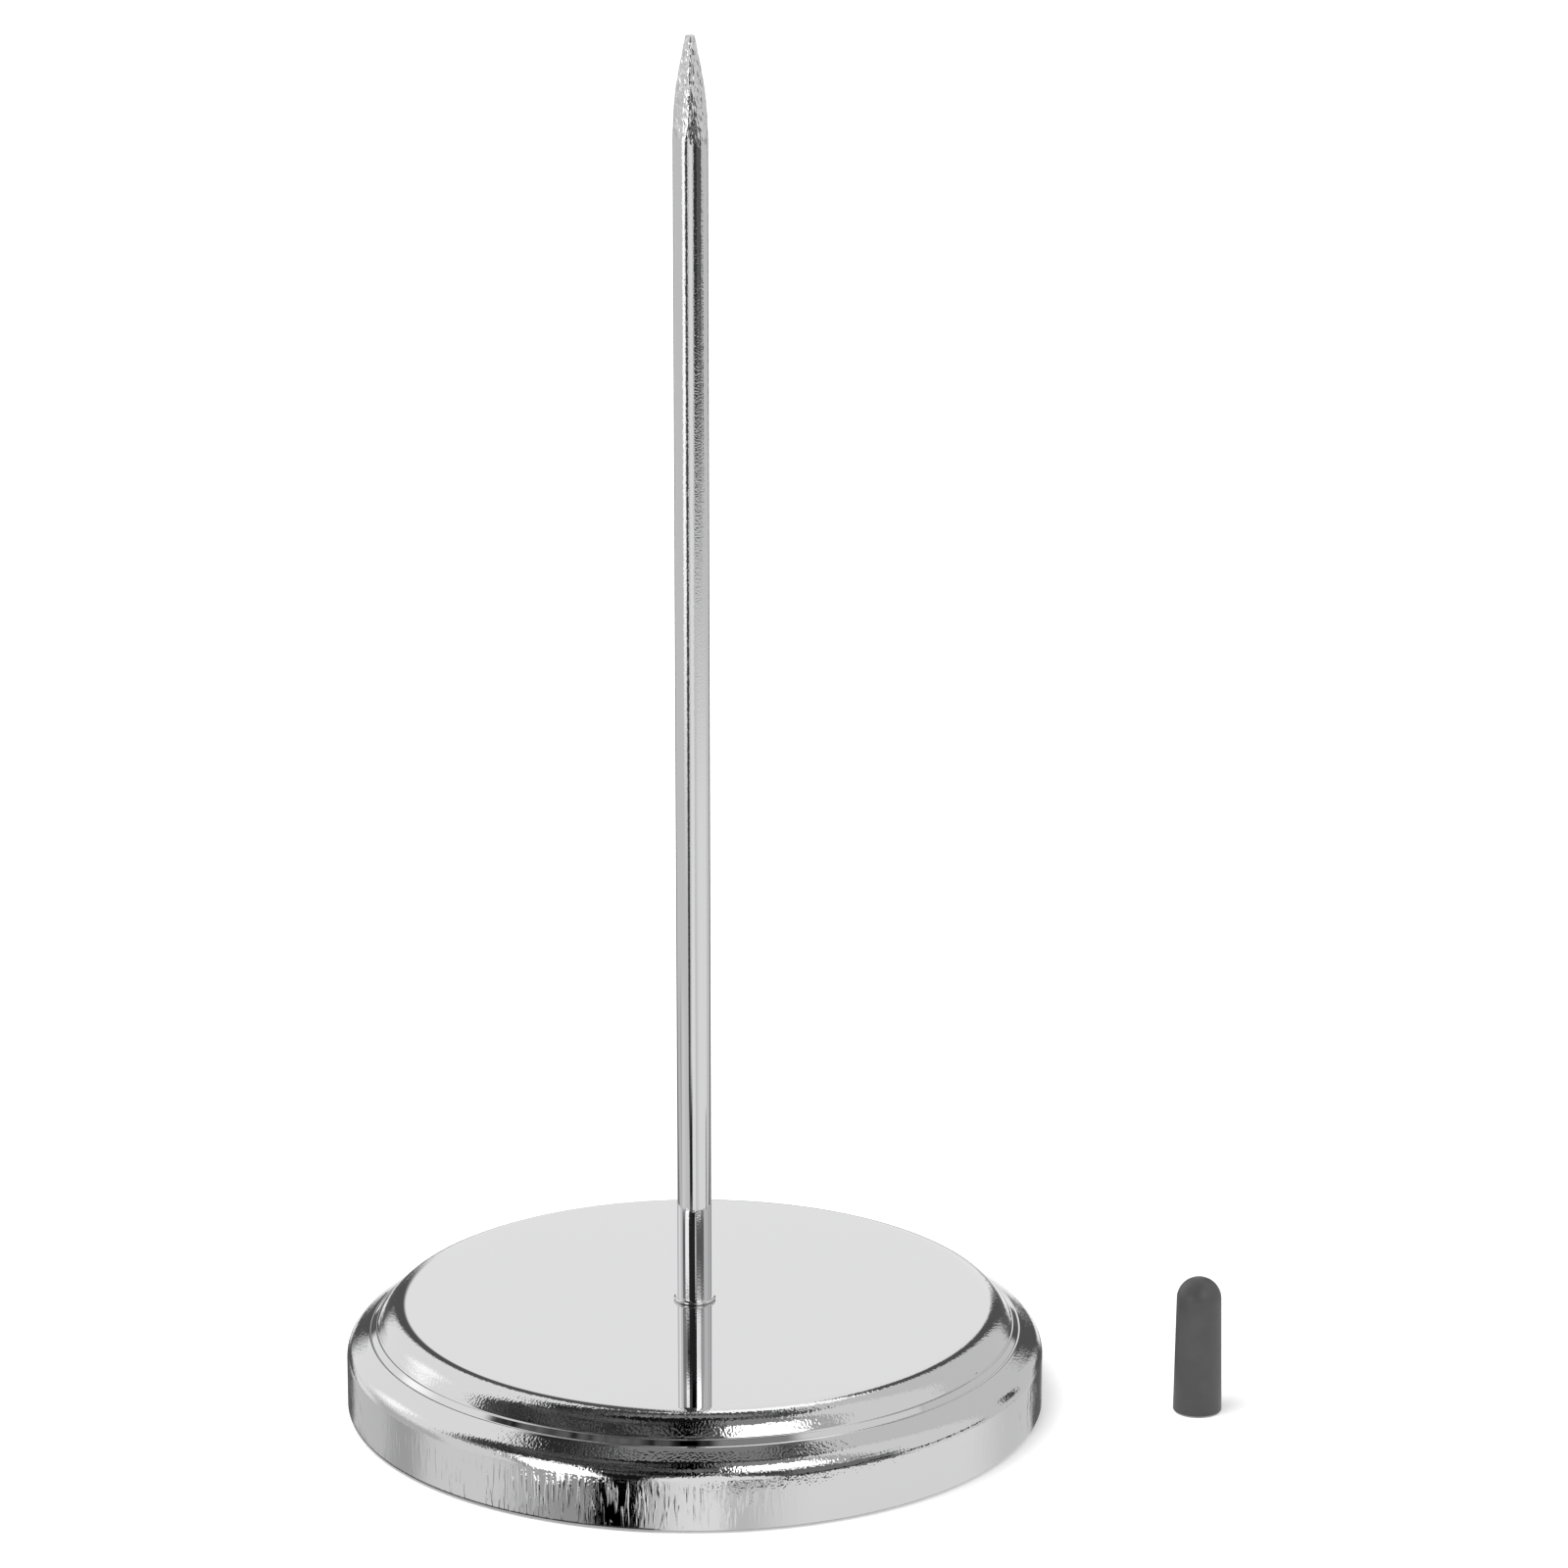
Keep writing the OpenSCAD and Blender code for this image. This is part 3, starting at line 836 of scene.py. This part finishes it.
def light_tent(studio):
    """Dome of cloth round the object, with its softboxes, walls and openings."""
    bm = bmesh.new()
    rings = []
    for step in range(int(90 / TENT_STEP)):
        elevation = radians(TENT_STEP * step)
        out = studio.tent_radius * cos(elevation)
        rings.append(add_ring(bm, [(out, a) for a in CIRCLE], studio.tent_radius * sin(elevation)))
    rings.append([bm.verts.new((0, 0, studio.tent_radius))])
    skin_rings(bm, rings)
    paint_levels(bm, lambda p: tent_level(around(p), degrees(atan2(p.z, p.xy.length))))
    mirrored_cloth("light_tent", bm)


# Height of the cards over the floor, how far they reach in under the rim, and how much wider each of
# their rings is than the last, near the wall and beyond
CARD_HEIGHT = 0.1 * MM
UNDER_RIM = 0.6 * MM
NEAR_GROWTH, FAR_GROWTH = 1.008, 1.03


def floor_cards(studio):
    """Cards on the floor, seen by gloss alone. The hole under the base leaves the floor bare."""
    bm = bmesh.new()
    rings = []
    distance = SHELL_TOP.x - UNDER_RIM
    while distance < studio.tent_radius:
        rings.append(add_ring(bm, [(distance, a) for a in CIRCLE], CARD_HEIGHT))
        distance *= FAR_GROWTH if distance > NEAR_WALL else NEAR_GROWTH
    skin_rings(bm, rings)
    paint_levels(bm, floor_level)
    mirrored_cloth("floor_cards", bm)


# Distance of the low ring, which carries the tent on below the horizon for the round above the wall,
# its elevations in degrees, and how far up the round the highest of its rays leave it
RING_DISTANCE = 0.048
RING_LOW, RING_HIGH, RING_STEPS = -22, 2, 36
RAY_RISE = 0.19


def low_ring(shell):
    """The tent below the horizon. It stands so close and so low that the rod and the wall miss it."""
    bm = bmesh.new()
    layer = bm.verts.layers.float.new("level")
    rings = []
    for step in range(RING_STEPS + 1):
        part = step / RING_STEPS
        elevation = RING_LOW + (RING_HIGH - RING_LOW) * part
        leaving = wall_top(shell) + RAY_RISE * shell.lower_round * part
        height = leaving + (RING_DISTANCE - shell.wall_radius) * tan(radians(elevation))
        rings.append(add_ring(bm, [(RING_DISTANCE, a) for a in CIRCLE], height))
        for vert in rings[-1]:
            vert[layer] = tent_level(mirrored_azimuth(vert.co), elevation)
    skin_rings(bm, rings)
    mirrored_cloth("low_ring", bm)


def paper_floor(studio):
    """Matt white paper: lit evenly, it burns out to white and keeps only the object's shadow."""
    material, tree, _ = new_material("matt_paper")
    lit = add_node(tree, "ShaderNodeBsdfDiffuse", {"Color": (*studio.floor, 1)})
    glow = add_node(tree, "ShaderNodeEmission", {"Strength": studio.paper_glow})
    surface = add_node(tree, "ShaderNodeAddShader", (lit, glow))
    add_node(tree, "ShaderNodeOutputMaterial", {"Surface": surface})
    bm = bmesh.new()
    half = studio.floor_half
    bm.faces.new([bm.verts.new((x * half, y * half, 0)) for x, y in ((-1, -1), (1, -1), (1, 1), (-1, 1))])
    stage_object("paper_floor", bm, material)


def studio_world(studio):
    """White all round for camera, gloss and glass, and a plain level for the light on matt surfaces."""
    world = bpy.data.worlds.new("studio")
    world.use_nodes = True
    tree = world.node_tree
    tree.nodes.clear()
    seen = 0.0
    for ray in ("Is Camera Ray", "Is Glossy Ray", "Is Transmission Ray"):
        is_ray = add_node(tree, "ShaderNodeLightPath", output=ray)
        seen = add_node(tree, "ShaderNodeMath", (seen, is_ray), operation="MAXIMUM")
    plain = add_node(tree, "ShaderNodeBackground", {"Color": (1, 1, 1, 1), "Strength": studio.daylight})
    white = add_node(tree, "ShaderNodeBackground", {"Color": (1, 1, 1, 1), "Strength": 1.0})
    mixed = add_node(tree, "ShaderNodeMixShader", (seen, plain, white))
    add_node(tree, "ShaderNodeOutputWorld", {"Surface": mixed})
    bpy.context.scene.world = world


def soft_lamp(studio):
    """One large overhead lamp for shape and a soft shadow. Gloss sees the tent and not the lamp."""
    light = bpy.data.lights.new("overhead_lamp", "AREA")
    light.shape = "DISK"
    light.size = studio.lamp_size
    light.energy = studio.lamp_power
    lamp = bpy.data.objects.new("overhead_lamp", light)
    bpy.context.scene.collection.objects.link(lamp)
    lamp.location = studio.lamp_place
    lamp.rotation_euler = lamp.location.to_track_quat("Z", "Y").to_euler()
    lamp.visible_glossy = False


def photo_camera(studio):
    """Camera at the photographed angle."""
    data = bpy.data.cameras.new("camera")
    data.sensor_width = 36
    data.lens = studio.focal_mm
    camera = bpy.data.objects.new("camera", data)
    bpy.context.scene.collection.objects.link(camera)
    camera.location = (studio.camera_side, -studio.camera_back, studio.camera_height)
    camera.rotation_euler = (radians(90) - studio.camera_pitch, 0, 0)
    bpy.context.scene.camera = camera


# Operators


class SPIKE_OT_base_shell(bpy.types.Operator):
    """Dress the pressed and chromed base shell"""

    bl_idname = "receipt_spike.base_shell"
    bl_label = "Base shell"

    def execute(self, context):
        settings = context.scene.receipt_spike
        material = pressed_chrome(settings.finish, settings.shell)
        mesh = turned(shell_outline(settings.shell))
        piece_from(mesh, "chromed_base_shell", [material], "stand", ["base_shell"])
        return {"FINISHED"}


class SPIKE_OT_rod(bpy.types.Operator):
    """Dress the rod with its ground point, and the collar at its foot"""

    bl_idname = "receipt_spike.rod"
    bl_label = "Rod and collar"

    def execute(self, context):
        settings = context.scene.receipt_spike
        drawn = drawn_chrome(settings.finish)
        ground = ground_chrome(settings.finish)
        rod = spike_mesh(settings.rod)
        piece_from(rod, "chromed_rod", [drawn, ground], "stand", ["spike"], GROUND_EDGE)
        collar = turned(collar_outline(settings.rod), COLLAR_STEPS)
        piece_from(collar, "chromed_collar", [drawn], "stand", ["foot_collar"])
        return {"FINISHED"}


class SPIKE_OT_tip_cap(bpy.types.Operator):
    """Dress the soft cap that stands beside the base"""

    bl_idname = "receipt_spike.tip_cap"
    bl_label = "Tip cap"

    def execute(self, context):
        settings = context.scene.receipt_spike
        finish = settings.finish
        centre = (CAP_LOW + CAP_TOP) / 2
        mesh = turned(cap_outline(settings.cap), CAP_STEPS, centre.xy)
        for face in mesh.faces:
            middle = face.calc_center_median()
            # The bevel round the mouth gets the lighter grey, which is partly a painted highlight
            face.material_index = int(middle.z < settings.cap.cut_edge)
        materials = [
            soft_vinyl(finish.vinyl, "dipped_soft_vinyl", 0.42),
            soft_vinyl(finish.cut_vinyl_and_highlight, "cut_soft_vinyl_and_painted_highlight", 0.6),
        ]
        piece_from(mesh, "vinyl_tip_cap", materials, "cap", ["tip_cap"])
        return {"FINISHED"}


class SPIKE_OT_inner_pieces(bpy.types.Operator):
    """Dress the weight, the washers, the nut and the non-slip disc"""

    bl_idname = "receipt_spike.inner_pieces"
    bl_label = "Inner pieces"

    def execute(self, context):
        finish = context.scene.receipt_spike.finish
        disc = turned(disc_outline(), DISC_STEPS)
        rubber = moulded_rubber(finish)
        piece_from(disc, "moulded_non_slip_disc", [rubber], "stand", ["non_slip_disc"])
        zinc = tumbled_steel(finish.zinc, "zinc_plated_steel", 0.3)
        materials = {
            "ballast_disc": cast_iron(finish),
            "plain_washer": zinc,
            "hex_nut": zinc,
            "spring_washer": tumbled_steel(finish.spring, "tempered_spring_steel", 0.42),
        }
        for node, material in materials.items():
            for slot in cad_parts[node].material_slots:
                slot.material = material
        return {"FINISHED"}


class SPIKE_OT_stage(bpy.types.Operator):
    """Set up the floor, the light and the camera"""

    bl_idname = "receipt_spike.stage"
    bl_label = "Studio"

    def execute(self, context):
        studio = context.scene.receipt_spike.studio
        paper_floor(studio)
        light_tent(studio)
        low_ring(context.scene.receipt_spike.shell)
        floor_cards(studio)
        studio_world(studio)
        soft_lamp(studio)
        photo_camera(studio)
        context.scene.view_settings.view_transform = "Standard"
        return {"FINISHED"}


class SPIKE_PT_panel(bpy.types.Panel):
    """Lists the pieces, the studio and their settings"""

    bl_label = "Receipt Spike"
    bl_idname = "SPIKE_PT_panel"
    bl_space_type = "VIEW_3D"
    bl_region_type = "UI"
    bl_category = "Receipt Spike"

    def draw(self, context):
        for operator in OPERATORS:
            self.layout.operator(operator.bl_idname)
        settings = context.scene.receipt_spike
        for group in settings.__annotations__:
            box = self.layout.box()
            for name in getattr(settings, group).__annotations__:
                box.prop(getattr(settings, group), name)


GROUPS = (ShellSizes, RodSizes, CapSizes, Finishes, Studio, ReceiptSpike)
OPERATORS = (SPIKE_OT_base_shell, SPIKE_OT_rod, SPIKE_OT_tip_cap, SPIKE_OT_inner_pieces, SPIKE_OT_stage)


def register():
    for made in (*GROUPS, *OPERATORS, SPIKE_PT_panel):
        bpy.utils.register_class(made)
    bpy.types.Scene.receipt_spike = PointerProperty(type=ReceiptSpike)


def unregister():
    del bpy.types.Scene.receipt_spike
    for made in reversed((*GROUPS, *OPERATORS, SPIKE_PT_panel)):
        bpy.utils.unregister_class(made)


def main():
    register()
    bpy.ops.receipt_spike.base_shell()
    bpy.ops.receipt_spike.rod()
    bpy.ops.receipt_spike.tip_cap()
    bpy.ops.receipt_spike.inner_pieces()
    bpy.ops.receipt_spike.stage()


if __name__ == "__main__":
    main()
